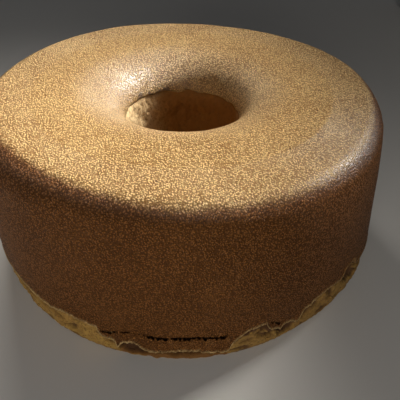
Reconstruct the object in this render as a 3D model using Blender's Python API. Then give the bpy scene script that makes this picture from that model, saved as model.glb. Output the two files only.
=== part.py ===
"""Pound cake baked in a tube pan and turned out upside down, as one solid with the hole of the tube.

The cake is a stack of rings round the Z axis, joined into one closed skin. Every ring follows the pan's
clean profile, and below the crust's torn edge it also follows the crumb, cracks and ledge at the foot.
Metres, +Z up, origin at the middle of the foot. Azimuths are degrees from +X, so the front is at -90.
"""

import math

import bmesh
import bpy
from mathutils import Vector, noise

# The baked body, as the pan shaped it.
CAKE_HEIGHT = 0.0984
WIDEST_RADIUS = 0.1151
WIDEST_HEIGHT = 0.0534
FOOT_RADIUS = 0.1140
# Above the widest height the wall leans in by this much, and then rounds over into the flat top.
SHOULDER_LEAN = 0.0044
SHOULDER_ROUND = 0.0090
# Azimuth and half width in degrees, and how much rounder the shoulder is there.
SOFTER_SHOULDER = (-136.0, 48.0, 0.0045)
# The rim of the top is a little squarish: four soft corners, the first at this azimuth.
CORNER_SWELL = 0.0015
CORNER_AZIMUTH = 30.0

# The hole left by the tube, with its rolled lip.
CREASE_RADIUS = 0.0336
CREASE_HEIGHT = 0.0782
LIP_REACH = 0.032
TUBE_FOOT_RADIUS = 0.0300
TUBE_WALL_HEIGHTS = (0.0720, 0.0620, 0.0480, 0.0310, 0.0140, 0.0)
TUBE_ROUGHNESS = 0.0009
TUBE_GRAIN = 0.007
CREASE_RAGGEDNESS = 0.0014
CREASE_UNDERCUT = 0.0014
CREASE_DROP = 0.0011

# The torn foot: the crust ends at a ragged edge, and the crumb below it is set back.
TORN_EDGE_HEIGHT = 0.0188
EDGE_WAVE = 0.0012
EDGE_WAVE_LENGTH = 0.016
EDGE_NICK = 0.0008
EDGE_NICK_LENGTH = 0.0062
CRUST_EDGE_PROUD = 0.0005
CRUST_EDGE_WIDTH = 0.0026
CRUMB_SET_BACK = 0.0018
CRUMB_ROUGHNESS = 0.0011
CRUMB_GRAIN = 0.0075
CRACK_HEIGHT = 0.0030
CRACK_DEPTH = 0.0045
CRACK_FLOOR_HEIGHT = 0.0009
LEDGE_LOW_HEIGHT = 0.0100
LEDGE_LEAST_HEIGHT = 0.0012
LEDGE_WAVE = 0.0006
LEDGE_WAVE_LENGTH = 0.012
LEDGE_PROUD = 0.0008
LEDGE_BULGE = 0.0012
LEDGE_UNDERCUT = 0.0042
LEDGE_UNDERCUT_ENDS = 0.0032
# How steeply the skin steps in under an edge, as a height.
STEP_HEIGHT = 0.0005

# Places round the foot, in degrees: where a rolled ledge hangs on below the crack.
LEDGES = ((-109.0, -79.5), (12.0, 46.0), (112.0, 149.0))
LEDGE_FADE = 2.0
# Azimuth, half width in degrees, and rise (or drop) of the torn edge.
EDGE_RISES = (
    (-109.7, 2.6, -0.0060),
    (-103.5, 5.0, 0.0042),
    (-78.2, 3.2, -0.0080),
    (-72.0, 4.5, 0.0026),
    (-59.8, 2.6, -0.0085),
    (-53.0, 5.0, 0.0030),
    (-39.5, 4.5, -0.0045),
    (8.0, 4.0, -0.0070),
    (60.0, 9.0, 0.0030),
    (106.0, 4.0, -0.0065),
    (172.0, 8.0, 0.0030),
)
# Azimuth, half width in degrees, and rise of the ledge's lower edge: the arch over the dark cavity.
LEDGE_ARCHES = (
    (-102.5, 4.2, 0.0050),
    (-107.6, 2.2, -0.0037),
    (-79.0, 3.0, -0.0032),
    (27.0, 4.5, 0.0048),
    (133.0, 3.8, 0.0045),
)
# Azimuth, half width in degrees, middle height, half height and depth of each pocket torn into the crumb.
POCKETS = (
    (-102.5, 4.2, 0.0070, 0.0090, 0.0050),
    (-72.0, 3.0, 0.0195, 0.0035, 0.0030),
    (-68.0, 2.4, 0.0160, 0.0050, 0.0040),
    (-62.5, 3.2, 0.0115, 0.0050, 0.0055),
    (-55.3, 2.8, 0.0170, 0.0050, 0.0050),
    (-36.0, 2.6, 0.0145, 0.0065, 0.0060),
    (27.0, 4.5, 0.0070, 0.0085, 0.0045),
    (76.0, 3.0, 0.0140, 0.0060, 0.0050),
    (133.0, 4.0, 0.0070, 0.0085, 0.0045),
    (163.0, 3.0, 0.0120, 0.0060, 0.0050),
)
# Azimuth, half width in degrees, height and reach of each bulge where the foot spread.
FOOT_FLARES = (
    (-20.0, 42.0, 0.082, 0.0057),
    (66.0, 38.0, 0.078, 0.0036),
)

FOOT_SEGMENTS = 240
BODY_SEGMENTS = 120
TUBE_SEGMENTS = 90
WALL_HEIGHT_ABOVE_TEAR = 0.031
WALL_HEIGHTS = (0.0534, 0.0680, 0.0790)
SHOULDER_ANGLES = (0.0, 18.0, 35.0, 50.0, 64.0, 77.0, 90.0)
FLAT_TOP_RADIUS = 0.090
LIP_ANGLES = (90.0, 74.0, 60.0, 46.0, 32.0, 18.0, 7.0)

# Blender's noise seldom passes 0.6, so this brings it near 1.
NOISE_GAIN = 1.7
# Levels in the noise that keep one kind of roughness apart from another.
NICK_LEVEL = 5.0
LEDGE_LEVEL = 9.0
CRUMB_LEVEL = 40.0

CRUST_COLOUR = (0.480, 0.215, 0.062, 1.0)
CRUST_ROUGHNESS = 0.62


def angle_between(azimuth, centre):
    return abs((azimuth - centre + 180.0) % 360.0 - 180.0)


def hump(distance, half_width):
    """1 at the middle, falling smoothly to 0 at the half width."""
    if distance >= half_width:
        return 0.0
    return 0.5 + 0.5 * math.cos(math.pi * distance / half_width)


def ease(value):
    value = min(max(value, 0.0), 1.0)
    return value * value * (3.0 - 2.0 * value)


def ruggedness(azimuth, grain, radius, level=0.0):
    """Smooth noise between about -1 and 1 that closes on itself round the cake, with lumps of the grain's size."""
    turn = math.radians(azimuth)
    reach = radius / grain
    return NOISE_GAIN * noise.noise(Vector((reach * math.cos(turn), reach * math.sin(turn), level)))


def summed_humps(table, azimuth):
    return sum(rise * hump(angle_between(azimuth, centre), half) for centre, half, rise in table)


def ledge_share(azimuth):
    """1 where the rolled ledge hangs on, 0 where bare crumb shows."""
    share = 0.0
    for start, end in LEDGES:
        outside = angle_between(azimuth, 0.5 * (start + end)) - 0.5 * (end - start)
        share = max(share, ease(0.5 - outside / LEDGE_FADE))
    return share


def torn_edge(azimuth):
    wave = EDGE_WAVE * ruggedness(azimuth, EDGE_WAVE_LENGTH, FOOT_RADIUS)
    nick = EDGE_NICK * ruggedness(azimuth, EDGE_NICK_LENGTH, FOOT_RADIUS, NICK_LEVEL)
    return TORN_EDGE_HEIGHT + wave + nick + summed_humps(EDGE_RISES, azimuth)


def ledge_top(azimuth):
    return torn_edge(azimuth) - CRACK_HEIGHT


def ledge_low_edge(azimuth):
    wave = LEDGE_WAVE * ruggedness(azimuth, LEDGE_WAVE_LENGTH, FOOT_RADIUS, LEDGE_LEVEL)
    low = LEDGE_LOW_HEIGHT + wave + summed_humps(LEDGE_ARCHES, azimuth)
    return min(low, ledge_top(azimuth) - LEDGE_LEAST_HEIGHT)


def ledge_middle(azimuth):
    return 0.5 * (ledge_low_edge(azimuth) + ledge_top(azimuth))


def pocket_depth(azimuth, height):
    deepest = 0.0
    for centre, half, middle, half_height, depth in POCKETS:
        across = hump(angle_between(azimuth, centre), half)
        deepest = max(deepest, depth * across * hump(abs(height - middle), half_height))
    return deepest


def flare(azimuth, height):
    return sum(
        reach * hump(angle_between(azimuth, centre), half) * ease(1.0 - height / top)
        for centre, half, top, reach in FOOT_FLARES
    )


def shoulder_round(azimuth):
    """Radius of the shoulder's rounding."""
    centre, half, extra = SOFTER_SHOULDER
    return SHOULDER_ROUND + extra * hump(angle_between(azimuth, centre), half)


def wall_radius(azimuth, height):
    """The pan's wall: it leans in below and above the widest height."""
    corner = math.cos(math.radians(4.0 * (azimuth - CORNER_AZIMUTH)))
    radius = WIDEST_RADIUS + CORNER_SWELL * corner * height / CAKE_HEIGHT + flare(azimuth, height)
    if height <= WIDEST_HEIGHT:
        return radius + (FOOT_RADIUS - WIDEST_RADIUS) * (1.0 - height / WIDEST_HEIGHT) ** 2
    rise = (height - WIDEST_HEIGHT) / (CAKE_HEIGHT - WIDEST_HEIGHT)
    return radius - SHOULDER_LEAN * rise ** 2.5


def shoulder_place(azimuth, angle):
    """A point of the shoulder, from the wall (0) to the flat top (90)."""
    turn = math.radians(angle)
    reach = shoulder_round(azimuth)
    height = CAKE_HEIGHT - reach * (1.0 - math.sin(turn))
    return wall_radius(azimuth, height) - reach * (1.0 - math.cos(turn)), height


def crumb_depth(azimuth, height):
    """How far the bare crumb is set back from the wall."""
    level = CRUMB_LEVEL + height / CRUMB_GRAIN
    grain = CRUMB_ROUGHNESS * ruggedness(azimuth, CRUMB_GRAIN, FOOT_RADIUS, level)
    return CRUMB_SET_BACK + grain + pocket_depth(azimuth, height)


def crust_place(azimuth, height, proud=0.0):
    return wall_radius(azimuth, height) + proud, height


def torn_place(azimuth, height, ledge_depth):
    """A point of the torn foot. ledge_depth is its set-back where the ledge hangs on."""
    share = ledge_share(azimuth)
    depth = (1.0 - share) * crumb_depth(azimuth, height) + share * ledge_depth
    return wall_radius(azimuth, height) - depth, height


def foot_rings():
    """From the ground up to just above the crust's torn edge."""
    torn = (
        (lambda azimuth: 0.0, LEDGE_UNDERCUT_ENDS),
        (lambda azimuth: 0.5 * ledge_low_edge(azimuth), LEDGE_UNDERCUT),
        (lambda azimuth: ledge_low_edge(azimuth) - STEP_HEIGHT, LEDGE_UNDERCUT_ENDS),
        (ledge_low_edge, -LEDGE_PROUD),
        (ledge_middle, -LEDGE_BULGE),
        (ledge_top, 0.0),
        (lambda azimuth: ledge_top(azimuth) + CRACK_FLOOR_HEIGHT, CRACK_DEPTH),
        (lambda azimuth: torn_edge(azimuth) - STEP_HEIGHT, CRACK_DEPTH),
    )
    places = [
        lambda azimuth, height_of=height_of, depth=depth: torn_place(azimuth, height_of(azimuth), depth)
        for height_of, depth in torn
    ]
    places.append(lambda azimuth: crust_place(azimuth, torn_edge(azimuth), CRUST_EDGE_PROUD))
    places.append(lambda azimuth: crust_place(azimuth, torn_edge(azimuth) + CRUST_EDGE_WIDTH))
    return [(FOOT_SEGMENTS, place) for place in places]


def body_rings():
    """The wall above the tear, the shoulder and the flat top."""
    rings = []
    for height in (WALL_HEIGHT_ABOVE_TEAR, *WALL_HEIGHTS):
        rings.append((BODY_SEGMENTS, lambda azimuth, height=height: crust_place(azimuth, height)))
    for angle in SHOULDER_ANGLES:
        rings.append((BODY_SEGMENTS, lambda azimuth, angle=angle: shoulder_place(azimuth, angle)))
    rings.append((BODY_SEGMENTS, lambda azimuth: (FLAT_TOP_RADIUS, CAKE_HEIGHT)))
    return rings


def lip_rings():
    """The crust rolling over into the hole, an ellipse from the flat top down to the crease."""
    rings = []
    for angle in LIP_ANGLES:
        turn = math.radians(angle)
        radius = CREASE_RADIUS + LIP_REACH * (1.0 - math.cos(turn))
        height = CREASE_HEIGHT + (CAKE_HEIGHT - CREASE_HEIGHT) * math.sin(turn)
        rings.append((TUBE_SEGMENTS, lambda azimuth, place=(radius, height): place))
    return rings


def crease_height(azimuth):
    return CREASE_HEIGHT + CREASE_RAGGEDNESS * ruggedness(azimuth, TUBE_GRAIN, CREASE_RADIUS)


def tube_place(azimuth, height):
    narrowing = ease(1.0 - height / CREASE_HEIGHT)
    clean = CREASE_RADIUS + (TUBE_FOOT_RADIUS - CREASE_RADIUS) * narrowing
    return clean + TUBE_ROUGHNESS * ruggedness(azimuth, TUBE_GRAIN, clean, height / TUBE_GRAIN), height


def tube_rings():
    """The crease where the crust ends, and the rough crumb wall below it."""
    undercut = CREASE_RADIUS + CREASE_UNDERCUT
    rings = [
        (TUBE_SEGMENTS, lambda azimuth: (CREASE_RADIUS, crease_height(azimuth))),
        (TUBE_SEGMENTS, lambda azimuth: (undercut, crease_height(azimuth) - CREASE_DROP)),
    ]
    for height in TUBE_WALL_HEIGHTS:
        rings.append((TUBE_SEGMENTS, lambda azimuth, height=height: tube_place(azimuth, height)))
    return rings


def bridged_rings(rings):
    """One closed skin: circles stacked as a plain column, bridged in order, then set in place."""
    cake = bmesh.new()
    circles = []
    for level, (segments, _) in enumerate(rings):
        circle = bmesh.ops.create_circle(cake, segments=segments, radius=1.0)["verts"]
        bmesh.ops.translate(cake, verts=circle, vec=(0.0, 0.0, level))
        circles.append(circle)
    loops = [list({edge for vert in circle for edge in vert.link_edges}) for circle in circles]
    for lower, upper in zip(loops, loops[1:] + loops[:1]):
        bmesh.ops.bridge_loops(cake, edges=lower + upper)
    for circle, (_, place) in zip(circles, rings):
        for vert in circle:
            turn = math.atan2(vert.co.y, vert.co.x)
            radius, height = place(math.degrees(turn))
            vert.co = (radius * math.cos(turn), radius * math.sin(turn), height)
    bmesh.ops.triangulate(cake, faces=cake.faces)
    bmesh.ops.recalc_face_normals(cake, faces=cake.faces)
    return cake


def crust_material():
    material = bpy.data.materials.new("baked_crust")
    material.use_nodes = True
    shader = material.node_tree.nodes["Principled BSDF"]
    shader.inputs["Base Color"].default_value = CRUST_COLOUR
    shader.inputs["Roughness"].default_value = CRUST_ROUGHNESS
    shader.inputs["Metallic"].default_value = 0.0
    return material


def add_cake():
    skin = bridged_rings(foot_rings() + body_rings() + lip_rings() + tube_rings())
    mesh = bpy.data.meshes.new("pound_cake")
    skin.to_mesh(mesh)
    skin.free()
    mesh.shade_smooth()
    mesh.set_sharp_from_angle(angle=math.radians(50.0))
    mesh.materials.append(crust_material())
    cake = bpy.data.objects.new("pound_cake", mesh)
    bpy.context.collection.objects.link(cake)
    return cake


def main():
    for leftover in list(bpy.data.objects):
        bpy.data.objects.remove(leftover)
    add_cake()


main()
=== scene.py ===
"""Looks of a pound cake from a tube pan: browned crust, open crumb, torn foot, loose crumbs, and a studio.

The cake stands round the Z axis. An azimuth is in degrees from +X, so the front is at -90. Metres, +Z up.
A closed skin is a stack of rings: each ring has a place for every azimuth, given as radius and height.
"""

import bisect
import math
import random
from functools import partial

import bmesh
import bpy
from mathutils import Matrix, Vector, noise


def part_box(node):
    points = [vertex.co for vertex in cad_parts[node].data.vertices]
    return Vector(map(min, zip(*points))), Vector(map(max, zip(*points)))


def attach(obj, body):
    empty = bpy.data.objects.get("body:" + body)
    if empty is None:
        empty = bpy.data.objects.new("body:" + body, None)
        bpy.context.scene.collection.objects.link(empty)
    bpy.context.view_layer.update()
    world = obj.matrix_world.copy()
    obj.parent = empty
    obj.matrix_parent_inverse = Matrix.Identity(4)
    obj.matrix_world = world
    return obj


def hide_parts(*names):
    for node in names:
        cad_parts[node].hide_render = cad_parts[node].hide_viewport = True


bl_info = {
    "name": "Pound Cake",
    "version": (1, 0, 0),
    "blender": (4, 5, 0),
    "location": "View3D > Sidebar > Cake",
    "description": "Crust, crumb, torn foot and studio of a tube pan pound cake",
    "category": "Object",
}

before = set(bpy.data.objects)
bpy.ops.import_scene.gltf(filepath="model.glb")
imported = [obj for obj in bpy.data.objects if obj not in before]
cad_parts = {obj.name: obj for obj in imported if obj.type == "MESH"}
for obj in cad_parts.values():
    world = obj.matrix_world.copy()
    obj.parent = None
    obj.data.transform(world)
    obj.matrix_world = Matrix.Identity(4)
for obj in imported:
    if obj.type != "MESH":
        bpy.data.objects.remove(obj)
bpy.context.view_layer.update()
BODY = "root"
NODE = "pound_cake"

# The baked body, as the pan shaped it.
CAKE_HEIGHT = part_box(NODE)[1].z
WIDEST_RADIUS = 0.1151
WIDEST_HEIGHT = 0.0534
FOOT_RADIUS = 0.1140
# Above the widest height the wall leans in by this much, and then rounds over into the flat top.
SHOULDER_LEAN = 0.0044
SHOULDER_ROUND = 0.0090
# Azimuth and half width in degrees, and how much rounder the shoulder is there.
SOFTER_SHOULDER = (-136.0, 48.0, 0.0045)
# The rim of the top is a little squarish: four soft corners, the first at this azimuth.
CORNER_SWELL = 0.0015
CORNER_AZIMUTH = 30.0
# Azimuth, half width in degrees, height and reach of each bulge where the foot spread.
FOOT_FLARES = (
    (-20.0, 42.0, 0.082, 0.0057),
    (66.0, 38.0, 0.078, 0.0036),
)

# The hole left by the tube, with its rolled lip.
CREASE_RADIUS = 0.0336
CREASE_HEIGHT = 0.0782
CREASE_RAGGEDNESS = 0.0014
CREASE_UNDERCUT = 0.0007
LIP_REACH = 0.032
TUBE_FOOT_RADIUS = 0.0300
TUBE_GRAIN = 0.007

# Where the top has a larger pit, painted dark as shade in it, as x and y, and half the width of a pit.
TOP_PITS = (
    (0.0614, -0.0764), (0.0660, -0.0578), (0.0854, -0.0511), (0.0854, -0.0393), (0.0858, -0.0298),
    (0.0765, -0.0078), (-0.0647, -0.0774), (-0.0445, -0.0928),
)
PIT_RADIUS = 0.0011
# Azimuth, half width in degrees and height of each tear in the crust at the crease, which is painted dark as
# shade.
CREASE_TEARS = ((142.0, 7.0, 0.0040), (128.0, 6.0, 0.0034), (109.0, 14.0, 0.0032), (86.0, 6.0, 0.0022))

# The torn foot. Azimuth in degrees and height of the crust's lower edge: the torn rim, or the rolled lower
# edge of a ledge that hangs on below a crack.
CRUST_EDGE = tuple({
    -180: 0.022, -170: 0.0212, -163: 0.0195, -156: 0.021, -149: 0.0192, -144: 0.0222, -138.5: 0.0226,
    -131.4: 0.0198, -126.7: 0.0186, -121.5: 0.021, -117.6: 0.0206, -113.9: 0.02, -111.7: 0.0198,
    -111.5: 0.0164, -111: 0.0144, -110.2: 0.0134, -109.1: 0.0133, -107.8: 0.0135, -107.2: 0.0122,
    -106.8: 0.0096, -106.4: 0.0102, -105.6: 0.013, -104.3: 0.0148, -102.2: 0.0162, -101.2: 0.015,
    -100.6: 0.0128, -99.6: 0.0106, -98.4: 0.0098, -95.9: 0.0098, -93.4: 0.0108, -90.9: 0.0116, -88: 0.0117,
    -86: 0.0106, -83.5: 0.0094, -80.9: 0.0086, -79.4: 0.008, -78.6: 0.0086, -78.1: 0.012, -77: 0.0152,
    -76.1: 0.0171, -75.1: 0.0186, -74.1: 0.0206, -73.7: 0.0216, -72.1: 0.0219, -70.5: 0.0222, -69.4: 0.0226,
    -69: 0.0218, -68.4: 0.0176, -67.4: 0.0152, -66: 0.0141, -64.5: 0.0129, -64: 0.0148, -63.2: 0.016,
    -61.8: 0.0156, -60.5: 0.0139, -59.4: 0.0116, -58.7: 0.0128, -58.2: 0.0158, -57.9: 0.0194, -57.2: 0.0207,
    -55.7: 0.0203, -55: 0.0222, -53.6: 0.0238, -50.6: 0.0246, -48.1: 0.025, -44.5: 0.0236, -43: 0.0245,
    -42.4: 0.0298, -39.5: 0.0308, -36.6: 0.029, -35.9: 0.0238, -30: 0.0225, -22: 0.0205, -12: 0.0215,
    -5: 0.019, 2: 0.0205, 8: 0.018, 11.6: 0.0195, 12: 0.014, 12.8: 0.0095, 16: 0.0085, 20: 0.0096,
    23: 0.0125, 26: 0.0155, 28.5: 0.0159, 31: 0.0125, 35: 0.0102, 40: 0.0094, 45.2: 0.008, 45.7: 0.014,
    46.4: 0.0195, 52: 0.022, 58: 0.021, 63: 0.0235, 70: 0.022, 75: 0.019, 77: 0.016, 79: 0.0205, 86: 0.022,
    94: 0.02, 101: 0.021, 106: 0.0175, 111.4: 0.0205, 111.8: 0.0135, 112.6: 0.009, 118: 0.0082, 124: 0.01,
    129: 0.0135, 133: 0.016, 136.5: 0.013, 141: 0.0098, 147.8: 0.0082, 148.4: 0.0145, 149.2: 0.0205,
    156: 0.022, 162: 0.0195, 166: 0.0175, 169: 0.021, 176: 0.0225, 180: 0.022,
}.items())
EDGE_NICKS = 0.0010
EDGE_NICK_LENGTH = 0.0021
FINE_NICKS = 0.0005
FINE_NICK_LENGTH = 0.0011
# The torn edge in section, from inside out: how far in, in thicknesses of the crust, how far out, in lifts
# of the edge, and how far up.
EDGE_SECTION = (
    (1.0, 0.0, 0.0005), (0.5, 0.0, 0.0001), (0.0, 0.4, 0.0), (0.0, 1.0, 0.0005), (0.0, 0.7, 0.0011),
    (0.0, 0.1, 0.0017),
)
# Azimuth in degrees, height and openness (0 to 1) of the crack above each ledge.
CRACKS = (
    (-180, 0.027, 0), (-116, 0.025, 0), (-111.2, 0.0187, 0), (-110.2, 0.0184, 0.8), (-109, 0.0196, 1),
    (-107.7, 0.0202, 0.8), (-106.6, 0.0212, 0.4), (-105.5, 0.022, 0.7), (-103.9, 0.0228, 0.5),
    (-102.7, 0.0227, 0.2), (-101.5, 0.0226, 0.15), (-100.2, 0.0228, 0.3), (-99.5, 0.0226, 0.7),
    (-98.8, 0.022, 1), (-96.9, 0.022, 1), (-94.7, 0.0216, 1), (-92.8, 0.0216, 0.4), (-91.4, 0.0224, 0.9),
    (-88, 0.0224, 1), (-87.1, 0.0224, 0.3), (-86, 0.022, 0.9), (-84.7, 0.0217, 1), (-83.4, 0.0212, 0.35),
    (-82.2, 0.0209, 1), (-81.2, 0.0208, 0.5), (-80.8, 0.0208, 0.9), (-79.8, 0.0213, 0.9),
    (-78.9, 0.0222, 0), (-72, 0.026, 0), (-69.2, 0.0254, 0), (-68.4, 0.0232, 0.5), (-66.4, 0.021, 1),
    (-64.6, 0.0186, 0.6), (-63.6, 0.0197, 0), (-58, 0.024, 0), (0, 0.025, 0), (11, 0.02, 0),
    (13.5, 0.0196, 0.9), (18, 0.0212, 0.8), (24, 0.022, 0.5), (30, 0.0205, 1), (36, 0.019, 0.8),
    (41, 0.0205, 0.9), (44.5, 0.0198, 0.6), (46.5, 0.0215, 0), (60, 0.027, 0), (105, 0.024, 0),
    (111, 0.0205, 0), (113.5, 0.0198, 0.8), (120, 0.021, 1), (127, 0.0222, 0.6), (134, 0.0212, 0.9),
    (141, 0.0192, 0.8), (147, 0.02, 0.7), (149, 0.0218, 0), (165, 0.026, 0), (180, 0.027, 0),
)
CRACK_GAP = 0.0034
CRACK_DEPTH = 0.0026
CRACK_FALL = 0.0026
CRACK_LIP = 0.0003
CRACK_TOOTH = 0.0016
# The crack in section, from its lower lip in and up to its upper lip, as shares of its gap, depth and fall.
CRACK_SECTION = (
    (1.0, 0.0, 0.0), (0.95, 0.15, 0.0), (0.95, 0.32, 0.35), (0.95, 0.50, 0.95), (0.95, 1.0, 1.0),
    (0.4, 1.0, 0.0), (0.1, 0.55, 0.0), (0.0, 0.0, 0.0),
)
# The crack stays this far above the crust's lower edge, and this far under the plain wall.
CRACK_LEAST_RISE = 0.0036
CRACK_CLEAR = 0.0012
# Places round the foot, in degrees, where the crust hangs on as a ledge and hides the hollow behind it.
LEDGES = ((-106.9, -78.5), (12.0, 45.8), (112.0, 148.6))
LEDGE_FADE = 0.8
LEDGE_BULGE = 0.0009
LEDGE_THICKNESS = 0.0060
# The crumb is hollow right under a ledge. Below that a strip of it still stands out.
HOLLOW_DEPTH = 0.0062
STRIP_HEIGHT = 0.0027
STRIP_DEPTH = 0.0026
# Azimuth and half width in degrees of each arch in a ledge, and the strip's lower height there.
ARCHES = ((-103.2, 4.6, 0.0010), (27.0, 5.5, 0.0012), (132.5, 5.0, 0.0010))
# Near the ground the crumb tucks in by this much, from this height down.
FOOT_TUCK = 0.0018
TUCK_HEIGHT = 0.008
# Azimuth and half width in degrees of the place where it tucks in more, and how much more.
EXTRA_TUCK = (-31.0, 15.0, 0.0022)
# Azimuth, half width in degrees, middle height, half height and depth of each pocket in the crumb.
POCKETS = (
    (-113.6, 1.2, 0.019, 0.0022, 0.0018), (-116.4, 0.9, 0.0195, 0.0018, 0.0014),
    (-103.2, 5.0, 0.0085, 0.008, 0.004), (-76.6, 1.6, 0.0165, 0.0026, 0.0022),
    (-73.4, 2.2, 0.0195, 0.0022, 0.0022), (-69.3, 1.7, 0.017, 0.0056, 0.0055),
    (-66.6, 1.5, 0.0105, 0.0036, 0.003), (-61.7, 3.8, 0.0092, 0.0062, 0.008),
    (-55.8, 3.2, 0.015, 0.0062, 0.007), (-51.5, 3.2, 0.0215, 0.0036, 0.0034),
    (-46.8, 2.6, 0.0205, 0.004, 0.0034), (-38.0, 5.2, 0.0235, 0.0115, 0.0095),
    (27.0, 5.5, 0.0085, 0.008, 0.004), (76.5, 2.6, 0.014, 0.006, 0.005), (132.5, 5.0, 0.0085, 0.008, 0.004),
    (165.5, 2.6, 0.014, 0.006, 0.005),
)

# The crumb is torn in layers, with folds this long, high and deep between them.
FOLD_LENGTH = 0.0090
FOLD_HEIGHT = 0.0034
FOLD_DEPTH = 0.0016

# Places a ring, from fine where the edge is torn to coarse where nothing shows.
EDGE_SEGMENTS = 1440
WALL_SEGMENTS = 720
LIP_SEGMENTS = 360
HIDDEN_SEGMENTS = 240
FOOT_SEGMENTS = 1200
TUBE_SEGMENTS = 300
# Steps from ring to ring in each band.
FACE_RINGS = 8
UPPER_RINGS = 7
WALL_RINGS = 24
SHOULDER_RINGS = 13
RIM_RINGS = 14
TOP_RINGS = 8
LIP_RINGS = 29
FOOT_RINGS = 36
TUBE_RINGS = 69
# Top of the band over the tear, outer radius of the top's inner rings, and the gap on each side of these.
EDGE_BAND_TOP = 0.0350
INNER_TOP_RADIUS = 0.080
RING_SPACING = 0.00115

# Blender's noise seldom passes 0.6, so this brings it near 1.
NOISE_GAIN = 1.7
# Levels in the noise that keep one kind of roughness apart from another.
NICK_LEVEL = 5.0
LEDGE_LEVEL = 9.0
STRIP_LEVEL = 11.0
FINE_LEVEL = 17.0
CRUMB_LEVEL = 40.0
FOLD_LEVEL = 60.0


def angle_between(azimuth, centre):
    return abs((azimuth - centre + 180.0) % 360.0 - 180.0)


def hump(distance, half_width):
    """1 at the middle, falling smoothly to 0 at the half width."""
    if distance >= half_width:
        return 0.0
    return 0.5 + 0.5 * math.cos(math.pi * distance / half_width)


def nearness(azimuth, centre, half_width):
    """1 at the centre, falling smoothly to 0 at the half width in degrees."""
    return hump(angle_between(azimuth, centre), half_width)


def ease(value):
    value = min(max(value, 0.0), 1.0)
    return value * value * (3.0 - 2.0 * value)


def lerp(start, end, share):
    return start + (end - start) * share


def shares(count):
    """Even shares from 0 to 1, both included."""
    return [step / count for step in range(count + 1)]


def even_steps(start, end, count):
    """Even steps from start to end, both included."""
    return [lerp(start, end, share) for share in shares(count)]


def around(azimuth, radius, height):
    """The place at an azimuth, this far from the axis and this high."""
    turn = math.radians(azimuth)
    return Vector((radius * math.cos(turn), radius * math.sin(turn), height))


def ruggedness(azimuth, grain, level=0.0, radius=FOOT_RADIUS):
    """Smooth noise round the cake, between about -1 and 1, with lumps of the grain's size."""
    return NOISE_GAIN * noise.noise(around(azimuth, radius / grain, level))


def lumps(place, size, level=0.0):
    """Smooth noise between about -1 and 1 in space, with lumps of this size."""
    return NOISE_GAIN * noise.noise(place / size + Vector((0.0, 0.0, level)))


def from_table(table, azimuth):
    """The values of a table at an azimuth, linear between its rows, which run from -180 to 180."""
    after = min(max(bisect.bisect_right(table, (azimuth,)), 1), len(table) - 1)
    low, high = table[after - 1], table[after]
    share = (azimuth - low[0]) / (high[0] - low[0])
    return [lerp(start, end, share) for start, end in zip(low[1:], high[1:])]


# -------- the cake's form


def ledge_share(azimuth):
    """1 where the rolled ledge hangs on, 0 where bare crumb shows."""
    share = 0.0
    for start, end in LEDGES:
        outside = angle_between(azimuth, 0.5 * (start + end)) - 0.5 * (end - start)
        share = max(share, ease(0.5 - outside / LEDGE_FADE))
    return share


def torn_edge(azimuth):
    """Height of the crust's lower edge, with small sharp nicks torn into it."""
    nick = abs(ruggedness(azimuth, EDGE_NICK_LENGTH, NICK_LEVEL)) - 0.4
    fine = ruggedness(azimuth, FINE_NICK_LENGTH, FINE_LEVEL)
    return from_table(CRUST_EDGE, azimuth)[0] + EDGE_NICKS * nick + FINE_NICKS * fine


def crack_at(azimuth):
    """Top of the crack, how open it is, and how far it gapes below its top. It opens in short teeth."""
    height, openness = from_table(CRACKS, azimuth)
    tooth = ruggedness(azimuth, CRACK_TOOTH, LEDGE_LEVEL)
    fine = ruggedness(azimuth, FINE_NICK_LENGTH, LEDGE_LEVEL)
    edge = torn_edge(azimuth)
    height = min(height + 0.0003 * fine, EDGE_BAND_TOP - CRACK_CLEAR)
    height = max(height, edge + CRACK_LEAST_RISE)
    openness *= min(max(0.62 + 0.8 * tooth + 0.35 * fine, 0.12), 1.0)
    return height, openness, min(CRACK_GAP * openness, height - edge - 0.0030)


def strip_height(azimuth):
    """Top of the strip of crumb that stands on the ground under a ledge."""
    low = STRIP_HEIGHT + 0.0006 * ruggedness(azimuth, 0.006, STRIP_LEVEL)
    for centre, half, height in ARCHES:
        low = lerp(low, height, ease(1.6 * nearness(azimuth, centre, half)))
    return low


def pocket_depth(azimuth, height):
    deepest = 0.0
    for centre, half, middle, half_height, depth in POCKETS:
        across = nearness(azimuth, centre, half)
        if across:
            deepest = max(deepest, depth * across * hump(abs(height - middle), half_height))
    return deepest


def flare(azimuth, height):
    return sum(
        reach * nearness(azimuth, centre, half) * ease(1.0 - height / top)
        for centre, half, top, reach in FOOT_FLARES
    )


def shoulder_round(azimuth):
    """Radius of the shoulder's rounding."""
    centre, half, extra = SOFTER_SHOULDER
    return SHOULDER_ROUND + extra * nearness(azimuth, centre, half)


def wall_radius(azimuth, height):
    """The pan's wall: it leans in below and above the widest height."""
    corner = math.cos(math.radians(4.0 * (azimuth - CORNER_AZIMUTH)))
    radius = WIDEST_RADIUS + CORNER_SWELL * corner * height / CAKE_HEIGHT + flare(azimuth, height)
    if height <= WIDEST_HEIGHT:
        return radius + (FOOT_RADIUS - WIDEST_RADIUS) * (1.0 - height / WIDEST_HEIGHT) ** 2
    rise = (height - WIDEST_HEIGHT) / (CAKE_HEIGHT - WIDEST_HEIGHT)
    return radius - SHOULDER_LEAN * rise ** 2.5


def shoulder_place(azimuth, angle, depth=0.0):
    """A point this deep under the shoulder, from the wall (0) to the flat top (90)."""
    turn = math.radians(angle)
    reach = shoulder_round(azimuth)
    height = CAKE_HEIGHT - reach * (1.0 - math.sin(turn))
    radius = wall_radius(azimuth, height) - reach * (1.0 - math.cos(turn))
    return radius - depth * math.cos(turn), height - depth * math.sin(turn)


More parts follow.
